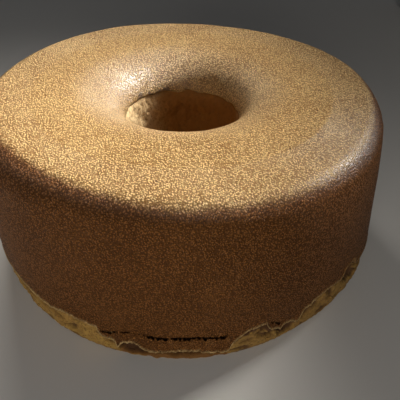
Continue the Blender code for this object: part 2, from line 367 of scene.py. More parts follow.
def high_wall_place(azimuth, share, depth=0.0):
    """A point of the wall between the band over the tear (0) and where the shoulder's rounding starts (1)."""
    height = lerp(EDGE_BAND_TOP, CAKE_HEIGHT - shoulder_round(azimuth), share)
    return wall_radius(azimuth, height) - depth, height


def crease_height(azimuth):
    return CREASE_HEIGHT + CREASE_RAGGEDNESS * ruggedness(azimuth, TUBE_GRAIN, radius=CREASE_RADIUS)


def lip_place(turn):
    """The crust rolling over into the hole, a quarter of an ellipse: the flat top is 90, the crease is 0."""
    angle = math.radians(turn)
    radius = CREASE_RADIUS + LIP_REACH * (1.0 - math.cos(angle))
    return radius, lerp(CREASE_HEIGHT, CAKE_HEIGHT, math.sin(angle))


def tube_radius(height):
    narrowing = ease(1.0 - height / CREASE_HEIGHT)
    return lerp(CREASE_RADIUS, TUBE_FOOT_RADIUS, narrowing)


# -------- stacked rings


def stacked_rings(bands, painted):
    """One closed skin of bands of rings. The rings are bridged as a plain column, then set in place.

    A band is a number of segments and its rings' places. Returns the skin, the vertices of each ring, and the
    painted values' layers by name.
    """
    shell = bmesh.new()
    for name in painted:
        shell.verts.layers.float.new(name)
    rings = []
    places = []
    for segments, band in bands:
        for place in band:
            ring = bmesh.ops.create_circle(shell, segments=segments, radius=1.0)["verts"]
            bmesh.ops.translate(shell, verts=ring, vec=(0.0, 0.0, len(rings)))
            rings.append(ring)
            places.append(place)
    loops = [list({edge for vert in ring for edge in vert.link_edges}) for ring in rings]
    for lower, upper in zip(loops, loops[1:] + loops[:1]):
        bmesh.ops.bridge_loops(shell, edges=lower + upper)
    for ring, place in zip(rings, places):
        for vert in ring:
            turn = math.atan2(vert.co.y, vert.co.x)
            radius, height = place(math.degrees(turn))
            vert.co = (radius * math.cos(turn), radius * math.sin(turn), height)
    bmesh.ops.recalc_face_normals(shell, faces=shell.faces)
    shell.normal_update()
    return shell, rings, {name: shell.verts.layers.float[name] for name in painted}


def spot_of(place):
    """Azimuth, distance from the axis and height of a place."""
    return math.degrees(math.atan2(place.y, place.x)), math.hypot(place.x, place.y), place.z


def new_object(name, shell, material):
    """Makes the bmesh an object in the scene."""
    mesh = bpy.data.meshes.new(name)
    shell.to_mesh(mesh)
    shell.free()
    mesh.materials.append(material)
    made = bpy.data.objects.new(name, mesh)
    bpy.context.scene.collection.objects.link(made)
    return made


def finished_piece(name, shell, material):
    """A smooth piece that rides with the cake."""
    piece = new_object(name, shell, material)
    piece.data.shade_smooth()
    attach(piece, BODY)
    return piece


# -------- material nodes


def new_material(name):
    """A material with its node tree and its shader node."""
    material = bpy.data.materials.new(name)
    material.use_nodes = True
    tree = material.node_tree
    return material, tree, tree.nodes["Principled BSDF"]


def set_input(tree, socket, value):
    """Links an input to a socket, or sets it to a number, a colour or a place."""
    if isinstance(value, bpy.types.NodeSocket):
        tree.links.new(value, socket)
    else:
        socket.default_value = (*value, 1.0) if socket.type == "RGBA" else value


def plug(tree, node, inputs):
    """Sets a node's inputs by their names or numbers."""
    for name, value in inputs.items():
        set_input(tree, node.inputs[name], value)


def wired(tree, kind, inputs, **choices):
    """A new node with its choices made and its inputs set."""
    node = tree.nodes.new("ShaderNode" + kind)
    for name, choice in choices.items():
        setattr(node, name, choice)
    plug(tree, node, inputs)
    return node


def object_coordinates(tree):
    return tree.nodes.new("ShaderNodeTexCoord").outputs["Object"]


def attribute(tree, name):
    return wired(tree, "Attribute", {}, attribute_name=name).outputs["Fac"]


def noise_value(tree, coordinates, size, detail=2.0, roughness=0.5):
    """Noise between 0 and 1 with lumps of about this size in metres."""
    inputs = {"Vector": coordinates, "Scale": 1.0 / size, "Detail": detail, "Roughness": roughness}
    return wired(tree, "TexNoise", inputs).outputs["Fac"]


def cells(tree, coordinates, size):
    """Voronoi cells of about this size: the distance from each cell's middle, and a random number a cell."""
    node = wired(tree, "TexVoronoi", {"Vector": coordinates, "Scale": 1.0 / size})
    channels = wired(tree, "SeparateColor", {"Color": node.outputs["Color"]})
    return node.outputs["Distance"], channels.outputs["Red"]


def spread(tree, value, low, high, to_low=0.0, to_high=1.0):
    """Maps low..high smoothly to another range, and stops at its ends."""
    inputs = {"Value": value, "From Min": low, "From Max": high, "To Min": to_low, "To Max": to_high}
    return wired(tree, "MapRange", inputs, interpolation_type="SMOOTHSTEP").outputs["Result"]


def math_of(tree, operation, first, second):
    """first and second are sockets or numbers."""
    return wired(tree, "Math", {0: first, 1: second}, operation=operation).outputs["Value"]


def scaled(tree, value, share):
    return math_of(tree, "MULTIPLY", value, share)


def added(tree, value, extra, share):
    """The value plus this share of the extra."""
    return math_of(tree, "ADD", value, scaled(tree, extra, share))


def distance_to(tree, coordinates, place):
    return wired(tree, "VectorMath", {0: coordinates, 1: place}, operation="DISTANCE").outputs["Value"]


def mixed(tree, factor, first, second):
    """A colour mix. factor is a socket or a number, the colours are sockets or RGB values."""
    node = wired(tree, "Mix", {}, data_type="RGBA")
    sockets = [socket for socket in node.inputs if socket.enabled]
    for socket, value in zip(sockets, (factor, first, second)):
        set_input(tree, socket, value)
    return next(socket for socket in node.outputs if socket.enabled)


def bumped(tree, height, strength, distance):
    inputs = {"Height": height, "Strength": strength, "Distance": distance}
    return wired(tree, "Bump", inputs).outputs["Normal"]


# -------- crust


# Size, noise level and share of each kind of unevenness of the crust.
CRUST_LUMPS = ((0.022, 0.0, 1.0), (0.0075, 3.0, 0.6), (0.0031, 7.0, 0.45))
# The wall's brown, partly painted shade, starts this far outside the flat top and deepens over this length.
BROWN_START = 0.0022
BROWN_FADE = 0.0085
# Where the shoulder is darker, as painted shade: azimuth, half width in degrees and how much further in it is
# brown.
SHADED_SHOULDERS = ((-25.0, 60.0, 0.0022), (-150.0, 60.0, 0.0030))
# Azimuth and half width in degrees of the buttery sheen, how strong it is all round, and how much more there.
SHOULDER_SHEEN = (-36.0, 36.0, 0.15, 0.75)
LIP_SHEEN = (175.0, 130.0, 0.25, 0.75)


def colour_property(name, description, default):
    return bpy.props.FloatVectorProperty(
        name=name, description=description, default=default, size=3, min=0.0, max=1.0, subtype="COLOR")


def length_property(name, description, default):
    return bpy.props.FloatProperty(
        name=name, description=description, default=default, min=0.0, precision=5,
        subtype="DISTANCE", unit="LENGTH")


def angle_property(name, description, degrees):
    return bpy.props.FloatProperty(
        name=name, description=description, default=math.radians(degrees), subtype="ANGLE", unit="ROTATION")


def count_property(name, description, default):
    return bpy.props.IntProperty(name=name, description=description, default=default, min=0)


class CrustSettings(bpy.types.PropertyGroup):
    """The browned skin that the pan shaped."""

    thickness: length_property("Thickness", "How thick the crust is where it is torn", 0.0017)
    edge_proud: length_property("Edge lift", "How far the torn edge stands off the wall", 0.0006)
    relief: length_property("Relief", "Height of the broad unevenness of the crust", 0.00012)
    grain: length_property("Grain", "Size of the sandy grain", 0.00092)
    top_colour: colour_property("Top colour", "Grains of the golden top", (0.90, 0.61, 0.270))
    # The wall's deeper brown is partly painted shade.
    side_colour: colour_property("Side colour", "Grains of the deeper brown wall", (0.375, 0.150, 0.038))
    # Painted shade: the gaps between the grains take these darker colours.
    top_gap_shade_colour: colour_property("Top pit colour", "Between the grains of the top", (0.215, 0.088, 0.012))
    side_gap_shade_colour: colour_property("Side pit colour", "Between the wall's grains", (0.075, 0.024, 0.003))
    # Painted shade in the crust's pores and pits.
    pore_shade_colour: colour_property("Pore colour", "Dark pores in the crust", (0.12, 0.050, 0.012))
    # Painted shade inside the crack and the tears.
    crack_shade_colour: colour_property("Crack colour", "Inside of the crack and the tears", (0.090, 0.036, 0.012))
    torn_colour: colour_property("Torn edge colour", "Paler crust along a tear", (0.60, 0.40, 0.17))


def ledge_swell(azimuth, height):
    """How far the wall swells out on a ledge."""
    crack, _, gap = crack_at(azimuth)
    return LEDGE_BULGE * ledge_share(azimuth) * ease(0.25 + (crack - gap - height) / 0.004)


def foot_bands(settings):
    """Rings of the crust from its lower edge over the crack to the plain wall."""
    thick = settings.thickness

    def edge_ring(inward, lift, above):
        set_back = inward * thick - lift * settings.edge_proud
        behind = LEDGE_THICKNESS - thick if inward == 1.0 else 0.0

        def place(azimuth):
            height = torn_edge(azimuth)
            inside = set_back + behind * ledge_share(azimuth)
            return wall_radius(azimuth, height) + ledge_swell(azimuth, height) - inside, height + above
        return place

    def face_ring(share):
        def place(azimuth):
            crack, _, gap = crack_at(azimuth)
            height = lerp(torn_edge(azimuth) + 0.0020, crack - gap - 0.0005, share)
            return wall_radius(azimuth, height) + ledge_swell(azimuth, height), height
        return place

    def crack_ring(below, depth_share, fall_share):
        def place(azimuth):
            crack, openness, gap = crack_at(azimuth)
            open_share = ease(1.6 * openness)
            height = crack - below * (gap + CRACK_LIP) - fall_share * CRACK_FALL * open_share
            upper_lip = CRACK_LIP * openness * (1.0 - depth_share)
            swell = ledge_swell(azimuth, height) if below > 0.5 else upper_lip
            return wall_radius(azimuth, height) + swell - CRACK_DEPTH * depth_share * open_share, height
        return place

    def upper_ring(share):
        def place(azimuth):
            height = lerp(crack_at(azimuth)[0] + 0.0004, EDGE_BAND_TOP, share)
            return wall_radius(azimuth, height), height
        return place

    rings = [edge_ring(*row) for row in EDGE_SECTION]
    rings += [face_ring(share) for share in shares(FACE_RINGS)]
    rings += [crack_ring(*row) for row in CRACK_SECTION]
    return rings + [upper_ring(share) for share in shares(UPPER_RINGS)]


def crust_outside(settings):
    """Bands of the crust's outer side, from the torn edge over the top to the crease in the hole."""
    wall = [partial(high_wall_place, share=share) for share in shares(WALL_RINGS)[1:]]
    wall += [partial(shoulder_place, angle=turn) for turn in even_steps(0.0, 90.0, SHOULDER_RINGS)[1:]]

    def top_ring(share):
        return lambda azimuth: (lerp(shoulder_place(azimuth, 90.0)[0], INNER_TOP_RADIUS, share), CAKE_HEIGHT)

    rim = [top_ring(share) for share in shares(RIM_RINGS)[1:]]
    first, last = INNER_TOP_RADIUS - RING_SPACING, lip_place(90.0)[0] + RING_SPACING
    inner_top = [
        lambda azimuth, radius=radius: (radius, CAKE_HEIGHT) for radius in even_steps(first, last, TOP_RINGS)
    ]
    lip = [lambda azimuth, turn=turn: lip_place(turn) for turn in even_steps(90.0, 4.0, LIP_RINGS)]
    lip.append(lambda azimuth: (CREASE_RADIUS, crease_height(azimuth)))
    bands = (foot_bands(settings), wall + rim, inner_top + lip)
    return list(zip((EDGE_SEGMENTS, WALL_SEGMENTS, LIP_SEGMENTS), bands))


def inner_rings(depth):
    """A coarse skin this deep under the crust's outer side, from the crease to just above the tear."""
    rings = [lambda azimuth: (CREASE_RADIUS + depth, crease_height(azimuth) + 0.0004)]
    for turn in (25.0, 45.0, 65.0, 90.0):
        radius, height = lip_place(turn)
        rings.append(lambda azimuth, place=(radius + depth, height - depth): place)
    rings.append(lambda azimuth: (INNER_TOP_RADIUS, CAKE_HEIGHT - depth))
    for turn in (90.0, 60.0, 30.0, 0.0):
        rings.append(partial(shoulder_place, angle=turn, depth=depth))
    for share in (0.7, 0.35, 0.0):
        rings.append(partial(high_wall_place, share=share, depth=depth))
    return rings


def crust_relief(place, settings):
    """How far the crust's outer side stands out at a place."""
    return settings.relief * sum(share * lumps(place, size, level) for size, level, share in CRUST_LUMPS)


def rim_brown_and_shade(azimuth, reach, height):
    """0 on the golden top, 1 where the wall is brown, partly as painted shade."""
    start = shoulder_place(azimuth, 90.0)[0] + BROWN_START
    for centre, half, further_in in SHADED_SHOULDERS:
        start -= further_in * nearness(azimuth, centre, half)
    return ease((reach - start + 0.5 * max(CAKE_HEIGHT - 0.004 - height, 0.0)) / BROWN_FADE)


def sheen_at(azimuth, sheen):
    centre, half, least, more = sheen
    return least + more * nearness(azimuth, centre, half)


def crease_tear(azimuth, above):
    """1 inside a tear of the crust just above the crease, which is painted dark as shade, 0 outside it."""
    ragged = ruggedness(azimuth, 0.0024, FINE_LEVEL, CREASE_RADIUS)
    reach = max(height * nearness(azimuth, centre, half) for centre, half, height in CREASE_TEARS)
    reach *= 0.75 + 0.6 * ragged
    if reach <= 0.0002:
        return 0.0
    return 0.85 * ease((reach - above) / 0.0008) * ease((above + 0.0004) / 0.0006)


def streaks(azimuth, height):
    """Upright wrinkles of a ledge, between about -1 and 1."""
    level = LEDGE_LEVEL + height / 0.009
    coarse = ruggedness(azimuth, 0.0042, level)
    return coarse + 0.6 * ruggedness(azimuth, 0.0017, level)


def paint_foot(vert, azimuth, reach, height, layers):
    """Marks the torn edge, the crack's painted shade, the ledge's painted light and its wrinkles. Returns how
    far the wrinkles stand out.
    """
    edge = torn_edge(azimuth)
    crack, _, gap = crack_at(azimuth)
    fringe = 0.75 + 0.35 * ruggedness(azimuth, 0.004, LEDGE_LEVEL)
    # The pale fringe is weaker on the right front, as painted shade there.
    fringe *= 1.0 - 0.6 * nearness(azimuth, -36.0, 26.0)
    vert[layers["torn"]] = fringe * ease(1.0 - (height - edge - 0.0006) / 0.0014)
    behind = wall_radius(azimuth, height) - reach
    # Painted shade inside the crack.
    if max(crack - gap - 1.1 * CRACK_FALL, edge + 0.0020) < height < crack + CRACK_LIP:
        vert[layers["crack"]] = ease((behind - 0.0002) / 0.0007)
    on_ledge = ledge_share(azimuth) * ease((crack - gap - height) / 0.0015) * ease((height - edge) / 0.0015)
    # The ledge faces up and is painted a little lighter, as light falling on it.
    vert[layers["brown_and_shade"]] = 1.0 - 0.12 * on_ledge
    return 0.00034 * on_ledge * streaks(azimuth, height)


def paint_rim(vert, azimuth, reach, height, layers):
    """Browns the crust from the top to the wall, partly as painted shade, and butters the shoulder."""
    vert[layers["brown_and_shade"]] = rim_brown_and_shade(azimuth, reach, height)
    from_middle = abs(height - CAKE_HEIGHT + 0.002)
    vert[layers["butter"]] = sheen_at(azimuth, SHOULDER_SHEEN) * hump(from_middle, 0.006)


def paint_lip(vert, azimuth, reach, height, layers):
    """Marks the crust's torn edge at the crease, paints shade into its tears, and butters the lip."""
    above = height - crease_height(azimuth)
    vert[layers["torn"]] = 0.7 * ease(1.0 - above / 0.0012)
    vert[layers["crack"]] = crease_tear(azimuth, above)
    inward = CREASE_RADIUS + LIP_REACH - reach
    vert[layers["butter"]] = sheen_at(azimuth, LIP_SHEEN) * ease(inward / 0.022)


def add_crust(settings):
    bands = crust_outside(settings)
    visible = sum(len(band) for _, band in bands)
    bands.append((HIDDEN_SEGMENTS, inner_rings(settings.thickness)))
    shell, rings, layers = stacked_rings(bands, ("brown_and_shade", "torn", "crack", "butter"))
    for ring in rings[:visible]:
        for vert in ring:
            place = vert.co.copy()
            azimuth, reach, height = spot_of(place)
            out = crust_relief(place, settings)
            if height < EDGE_BAND_TOP:
                out += paint_foot(vert, azimuth, reach, height, layers)
            elif reach > 2.5 * CREASE_RADIUS:
                paint_rim(vert, azimuth, reach, height, layers)
            else:
                paint_lip(vert, azimuth, reach, height, layers)
            vert.co = place + vert.normal * out
    piece = finished_piece("crust", shell, crust_material(settings))
    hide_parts(NODE)
    return piece


def crust_material(settings):
    """Sandy grains with painted shade in the gaps between them, here and there a pore darkened as painted
    shade, and a faint buttery sheen.
    """
    material, tree, shader = new_material("baked_crust")
    coordinates = object_coordinates(tree)
    blotches = noise_value(tree, coordinates, 0.035, 3.0, 0.55)
    mottling = noise_value(tree, coordinates, 0.005, 3.0, 0.6)
    fine = noise_value(tree, coordinates, 0.3 * settings.grain, 1.0, 0.5)
    distance, random_grain = cells(tree, coordinates, settings.grain)
    dome = spread(tree, distance, 0.62, 0.15)
    grain = added(tree, added(tree, dome, random_grain, 0.3), fine, 0.4)
    brown_and_shade = math_of(tree, "ADD", attribute(tree, "brown_and_shade"), spread(tree, mottling, 0.3, 0.7, -0.10, 0.10))
    tone = added(tree, dome, random_grain, 0.35)
    tone = math_of(tree, "ADD", tone, spread(tree, fine, 0.30, 0.70, 0.0, 0.5))
    tone = added(tree, tone, blotches, 0.4)
    # Painted shade: the gaps between the grains take the darker colours.
    top = mixed(tree, spread(tree, tone, 0.40, 1.42), settings.top_gap_shade_colour, settings.top_colour)
    side = mixed(tree, spread(tree, tone, 0.50, 1.60), settings.side_gap_shade_colour, settings.side_colour)
    # The wall's browner colour is partly painted shade.
    colour = mixed(tree, spread(tree, brown_and_shade, 0.1, 0.9), top, side)
    # Painted shade in the pores and in the larger pits of the top.
    pore_distance, random_cell = cells(tree, coordinates, 0.005)
    pore = math_of(tree, "MULTIPLY", spread(tree, pore_distance, 0.17, 0.06),
                   spread(tree, random_cell, 0.62, 0.70))
    pore = scaled(tree, pore, 0.8)
    colour = mixed(tree, pore, colour, settings.pore_shade_colour)
    for across, along in TOP_PITS:
        distance = distance_to(tree, coordinates, (across, along, CAKE_HEIGHT))
        pit = spread(tree, distance, 1.3 * PIT_RADIUS, 0.4 * PIT_RADIUS)
        colour = mixed(tree, scaled(tree, pit, 0.7), colour, settings.pore_shade_colour)
    colour = mixed(tree, attribute(tree, "torn"), colour, settings.torn_colour)
    # Painted shade inside the crack and the tears.
    colour = mixed(tree, attribute(tree, "crack"), colour, settings.crack_shade_colour)
    height = math_of(tree, "SUBTRACT", added(tree, grain, mottling, 0.4), pore)
    plug(tree, shader, {
        "Base Color": colour,
        "Roughness": spread(tree, grain, 0.3, 0.9, 0.62, 0.45),
        "Specular IOR Level": 0.12,
        "Coat Weight": scaled(tree, attribute(tree, "butter"), spread(tree, blotches, 0.35, 0.65, 0.7, 1.0)),
        "Coat Roughness": 0.38,
        "Coat IOR": 2.0,
        "Normal": bumped(tree, height, 1.0, 0.0010),
        "Coat Normal": bumped(tree, height, 1.0, 0.0002),
    })
    return material


# -------- crumb


# Shades of the torn crumb: 1 is a pore's, and from about 2 on they turn black.
HOLLOW_SHADE = 2.0
SIDE_SHADE = 0.65
EDGE_SHADE = 1.5
FOLD_SHADE = 1.2
LEDGE_SHADE = 0.7
# The shaded side of the foot: the azimuths where it starts and ends, and how many degrees each end takes.
SHADED_SIDE = (-82.0, -16.0, 6.0, 10.0)
# How brown the crumb is under a ledge, partly as painted shade, and in the hole, as painted shade, and
# azimuth and half width in degrees of the hole's lit side that isn't, and of its part painted pale as light.
BROWNING_AND_SHADE = 0.95
LIT_HOLE_SIDE = (165.0, 80.0)
PAINTED_LIGHT_SIDE = (160.0, 70.0)
CRUMB_LAYERS = ("deep", "browned", "pale")


class CrumbSettings(bpy.types.PropertyGroup):
    """The open crumb that shows below the torn crust and inside the hole."""

    set_back: length_property("Set-back", "How far the bare crumb lies behind the crust", 0.0007)
    roughness: length_property("Roughness", "Height of the crumb's lumps", 0.0006)
    lump_size: length_property("Lump size", "Width of the crumb's lumps", 0.0075)
    pore_size: length_property("Pore size", "Width of the crumb's pores", 0.0024)
    pore_depth: length_property("Pore depth", "Depth of the crumb's pores", 0.0007)
    colour: colour_property("Crumb colour", "Yellow crumb", (0.37, 0.215, 0.048))
    deep_colour: colour_property("Pore colour", "Shaded pores and hollows", (0.075, 0.030, 0.008))
    # Browned crumb, and also the painted shade under a ledge and in the hole.
    browned_and_shade_colour: colour_property("Browned colour", "Crumb browned along the tear", (0.24, 0.100, 0.020))
    # Painted light: the lit crumb high in the hole.
    painted_light_colour: colour_property("Pale colour", "Pale crumb high in the hole", (0.70, 0.50, 0.26))


def pores(place, settings):
    """1 in the middle of a pore, 0 outside it."""
    nearest = noise.voronoi(place / settings.pore_size)[0][0]
    return ease(1.0 - nearest / 0.45)


def fold_at(azimuth, height):
    """1 in a fold between the torn layers of the crumb, 0 outside it."""
    level = FOLD_LEVEL + height / FOLD_HEIGHT
    return ease((ruggedness(azimuth, FOLD_LENGTH, level) - 0.12) / 0.34)


def crumb_depth(azimuth, height, settings):
    """How far the bare crumb is set back from the wall."""
    level = CRUMB_LEVEL + height / settings.lump_size
    grain = settings.roughness * ruggedness(azimuth, settings.lump_size, level)
    centre, half, extra = EXTRA_TUCK
    tuck = FOOT_TUCK + extra * nearness(azimuth, centre, half)
    tuck *= max(1.0 - height / TUCK_HEIGHT, 0.0) ** 2
    rough = (grain + FOLD_DEPTH * fold_at(azimuth, height)) * ease(height / 0.006)
    return settings.set_back + tuck + rough + pocket_depth(azimuth, height)


def under_ledge_depth(azimuth, height, settings):
    """Set-back of the crumb under a ledge: a hollow, and below it a strip that stands on the ground."""
    level = CRUMB_LEVEL + height / 0.003
    rough = settings.roughness * ruggedness(azimuth, 0.004, level)
    standing = ease((strip_height(azimuth) + 0.0007 - height) / 0.0014)
    return lerp(HOLLOW_DEPTH, STRIP_DEPTH + rough, standing) + pocket_depth(azimuth, height)


def foot_ring(share, settings, cover):
    """A ring of the foot, from the ground to a little above the torn edge, where the crust covers it."""
    def place(azimuth):
        edge = torn_edge(azimuth)
        height = share * (edge + 0.004)
        hanging = ledge_share(azimuth)
        bare = crumb_depth(azimuth, height, settings)
        depth = lerp(bare, under_ledge_depth(azimuth, height, settings), hanging)
        covered = ease((height - edge + 0.0010) / 0.0010)
        least = lerp(cover, HOLLOW_DEPTH, hanging)
        depth = max(lerp(depth, least, covered), least * covered)
        return wall_radius(azimuth, height) - depth, height
    return place


def tube_ring(height):
    def place(azimuth):
        below = ease((crease_height(azimuth) - height) / 0.004)
        undercut = lerp(CREASE_UNDERCUT, 0.0, below)
        rough = 0.0009 * ruggedness(azimuth, TUBE_GRAIN, height / TUBE_GRAIN, CREASE_RADIUS)
        return tube_radius(height) + undercut + rough, height
    return place


def crumb_bands(settings, crust_thickness):
    """Bands of the underside, the torn foot, a coarse skin under the crust, and the tube."""
    cover = crust_thickness + 0.0004
    radii = (0.034, 0.050, 0.075, 0.100, 0.107)
    underside = [lambda azimuth, radius=radius: (radius, 0.0) for radius in radii]
    foot = [foot_ring(share, settings, cover) for share in shares(FOOT_RINGS)]
    hidden = inner_rings(cover)[::-1]
    tube = [lambda azimuth: (CREASE_RADIUS + CREASE_UNDERCUT, crease_height(azimuth) - 0.0008)]
    tube += [tube_ring(height) for height in even_steps(CREASE_HEIGHT - 0.0030, 0.0, TUBE_RINGS)]
    segments = (HIDDEN_SEGMENTS, FOOT_SEGMENTS, HIDDEN_SEGMENTS, TUBE_SEGMENTS)
    return list(zip(segments, (underside, foot, hidden, tube)))


def paint_torn_crumb(vert, azimuth, reach, height, pore, layers):
    """Shades the pores, hollows, pockets and folds of the torn foot, and browns the crumb along the tear."""
    edge = torn_edge(azimuth)
    hanging = ledge_share(azimuth)
    hollow = wall_radius(azimuth, height) - reach - lerp(0.0014, STRIP_DEPTH + 0.0005, hanging)
    torn_away = pocket_depth(azimuth, height)
    start, end, start_fade, end_fade = SHADED_SIDE
    shaded = ease((azimuth - start) / start_fade) * ease((end - azimuth) / end_fade)
    under_edge = shaded * ease((height - edge + 0.0048) / 0.0018)
    fold = fold_at(azimuth, height) * (1.0 - hanging)
    black = ease((torn_away - 0.0022) / 0.002) * ease((height - 0.0135) / 0.002) * shaded
    vert[layers["deep"]] = max(
        pore, HOLLOW_SHADE * ease(hollow / 0.0016), HOLLOW_SHADE * ease(torn_away / 0.0026) + black,
        SIDE_SHADE * shaded + EDGE_SHADE * under_edge, SIDE_SHADE * shaded + FOLD_SHADE * fold,
        LEDGE_SHADE * hanging)
    along_tear = 0.7 * ease((height - edge + 0.002) / 0.002)
    # Under a ledge the browning is partly painted shade.
    vert[layers["browned"]] = max(along_tear, BROWNING_AND_SHADE * hanging)


def paint_tube(vert, azimuth, height, pore, layers):
    """Browns the hole's crumb as painted shade, except on its far left, where the light falls and it is
    painted pale higher up.
    """
    vert[layers["deep"]] = pore
    vert[layers["browned"]] = BROWNING_AND_SHADE - BROWNING_AND_SHADE * nearness(azimuth, *LIT_HOLE_SIDE)
    vert[layers["pale"]] = ease(1.8 * nearness(azimuth, *PAINTED_LIGHT_SIDE)) * ease(height / 0.05)


def add_crumb(settings, crust_thickness):
    bands = crumb_bands(settings, crust_thickness)
    shell, rings, layers = stacked_rings(bands, CRUMB_LAYERS)
    underside, foot, hidden, _ = (len(band) for _, band in bands)
    torn = rings[underside + 1:underside + foot]
    tube = rings[underside + foot + hidden:-1]
    for ring in torn + tube:
        for vert in ring:
            place = vert.co.copy()
            azimuth, reach, height = spot_of(place)
            pore = pores(place, settings)
            if reach > 2.0 * CREASE_RADIUS:
                paint_torn_crumb(vert, azimuth, reach, height, pore, layers)
            else:
                paint_tube(vert, azimuth, height, pore, layers)
            rough = 0.00035 * lumps(place, 0.0026, 11.0)
            vert.co = place + vert.normal * (rough - settings.pore_depth * pore)
            vert.co.z = max(vert.co.z, 0.0)
    return finished_piece("crumb", shell, crumb_material(settings))


def crumb_material(settings):
    """Yellow crumb with browned patches and a dark grain; painted shade browns it and darkens it to black,
    painted light pales it.
    """
    material, tree, shader = new_material("open_crumb")
    coordinates = object_coordinates(tree)
    patches = noise_value(tree, coordinates, 0.009, 3.0, 0.6)
    grain = noise_value(tree, coordinates, 0.0013, 3.0, 0.65)
    shade = attribute(tree, "deep")
    browned = spread(tree, patches, 0.35, 0.7, 0.0, 0.45)
    colour = mixed(tree, browned, settings.colour, settings.browned_and_shade_colour)
    # Painted light makes the lit crumb high in the hole pale.
    colour = mixed(tree, attribute(tree, "pale"), colour, settings.painted_light_colour)
    colour = mixed(tree, spread(tree, grain, 0.5, 0.34, 0.0, 0.6), colour, settings.deep_colour)
    # Browned along the tear, and browned as painted shade under a ledge and in the hole.
    colour = mixed(tree, attribute(tree, "browned"), colour, settings.browned_and_shade_colour)
    colour = mixed(tree, scaled(tree, shade, 0.5), colour, settings.deep_colour)
    colour = mixed(tree, spread(tree, shade, 2.2, 3.0, 0.0, 0.75), colour, (0.010, 0.004, 0.001))
    plug(tree, shader, {
        "Base Color": colour,
        "Roughness": 0.85,
        "Specular IOR Level": 0.3,
        "Normal": bumped(tree, grain, 0.7, 0.0008),
    })
    return material


# -------- loose crumbs
class LooseCrumbSettings(bpy.types.PropertyGroup):
    """Crumbs that cling to the torn foot."""

    count: count_property("Number", "How many crumbs cling to the foot", 260)
    largest: length_property("Largest", "Half the width of the largest crumb", 0.0008)
    seed: count_property("Seed", "Changes where the crumbs lie", 7)


def add_loose_crumbs(settings):
    """Small rough lumps on the bare crumb below the tear, each sunk a little into it."""
    draw = random.Random(settings.seed)
    shell = bmesh.new()
    for layer in CRUMB_LAYERS:
        shell.verts.layers.float.new(layer)
    deep = shell.verts.layers.float["deep"]
    crumb_settings = bpy.context.scene.cake_crumb
    for number in range(settings.count):
        azimuth = draw.uniform(-180.0, 180.0)
        share = draw.random() ** 0.7
        size = settings.largest * (0.35 + 0.65 * draw.random() ** 2)
        tone = draw.uniform(0.0, 0.5)
        if ledge_share(azimuth) > 0.5:
            continue
        height = lerp(0.0008, torn_edge(azimuth) - 0.0008, share)
        depth = crumb_depth(azimuth, height, crumb_settings)
        middle = around(azimuth, wall_radius(azimuth, height) - depth - 0.3 * size, height)
        lump = bmesh.ops.create_uvsphere(shell, u_segments=8, v_segments=5, radius=size)["verts"]
        for vert in lump:
            vert.co = vert.co * (1.0 + 0.45 * lumps(vert.co, 0.9 * size, float(number))) + middle
            vert.co.z = max(vert.co.z, 0.0)
            vert[deep] = tone
    bmesh.ops.recalc_face_normals(shell, faces=shell.faces)
    return finished_piece("loose_crumbs", shell, bpy.data.materials["open_crumb"])


# -------- studio


WARM = (1.0, 0.97, 0.92)
NEUTRAL = (1.0, 0.98, 0.95)
# Azimuth and elevation in degrees, distance, target, size, power, colour and spread in degrees of each light.
LIGHTS = {
    "key_light": (29.0, 38.0, 1.1, (-0.11, -0.075, CAKE_HEIGHT), (0.25, 0.25), 0.87, WARM, 24.0),
    "back_light": (100.0, 35.0, 0.9, (-0.1, -0.05, CAKE_HEIGHT), (0.3, 0.3), 0.19, WARM, 40.0),
    "front_light": (-90.0, 45.0, 0.9, (0.0, 0.0, CAKE_HEIGHT), (0.6, 0.6), 0.35, NEUTRAL, 180.0),
    "low_light": (-100.0, 12.0, 0.9, (0.0, 0.0, 0.03), (0.5, 0.3), 2.55, NEUTRAL, 180.0),
}


class StageSettings(bpy.types.PropertyGroup):
    """Camera, lights and floor."""

    camera_distance: length_property("Camera distance", "How far in front of the middle it is", 0.24733)
    camera_height: length_property("Camera height", "How high it is", 0.2126)
    camera_pitch: angle_property("Camera pitch", "How far the camera looks down", 38.71)
    camera_yaw: angle_property("Camera yaw", "How far the camera looks to the right", 2.66)
    camera_roll: angle_property("Camera roll", "How far the camera leans", 1.37)
    lens: bpy.props.FloatProperty(
        name="Lens", description="Focal length on a 36 mm sensor, in millimetres", default=42.07, min=1.0)
    floor_colour: colour_property("Floor colour", "Plain pale floor", (0.76, 0.73, 0.68))


def add_camera(settings):
    pitch, yaw, roll = settings.camera_pitch, settings.camera_yaw, settings.camera_roll
    ahead = Vector((math.sin(yaw) * math.cos(pitch), math.cos(yaw) * math.cos(pitch), -math.sin(pitch)))
    right = Vector((math.cos(yaw), -math.sin(yaw), 0.0))
    up = right.cross(ahead)
    side = math.cos(roll) * right + math.sin(roll) * up
    top = math.cos(roll) * up - math.sin(roll) * right
    data = bpy.data.cameras.new("camera")
    data.lens = settings.lens
    data.sensor_width = 36.0
    data.clip_start = 0.01
    camera = bpy.data.objects.new("camera", data)
    place = Matrix((side, top, -ahead)).transposed().to_4x4()
    place.translation = (0.0, -settings.camera_distance, settings.camera_height)
    camera.matrix_world = place
    bpy.context.scene.collection.objects.link(camera)
    bpy.context.scene.camera = camera


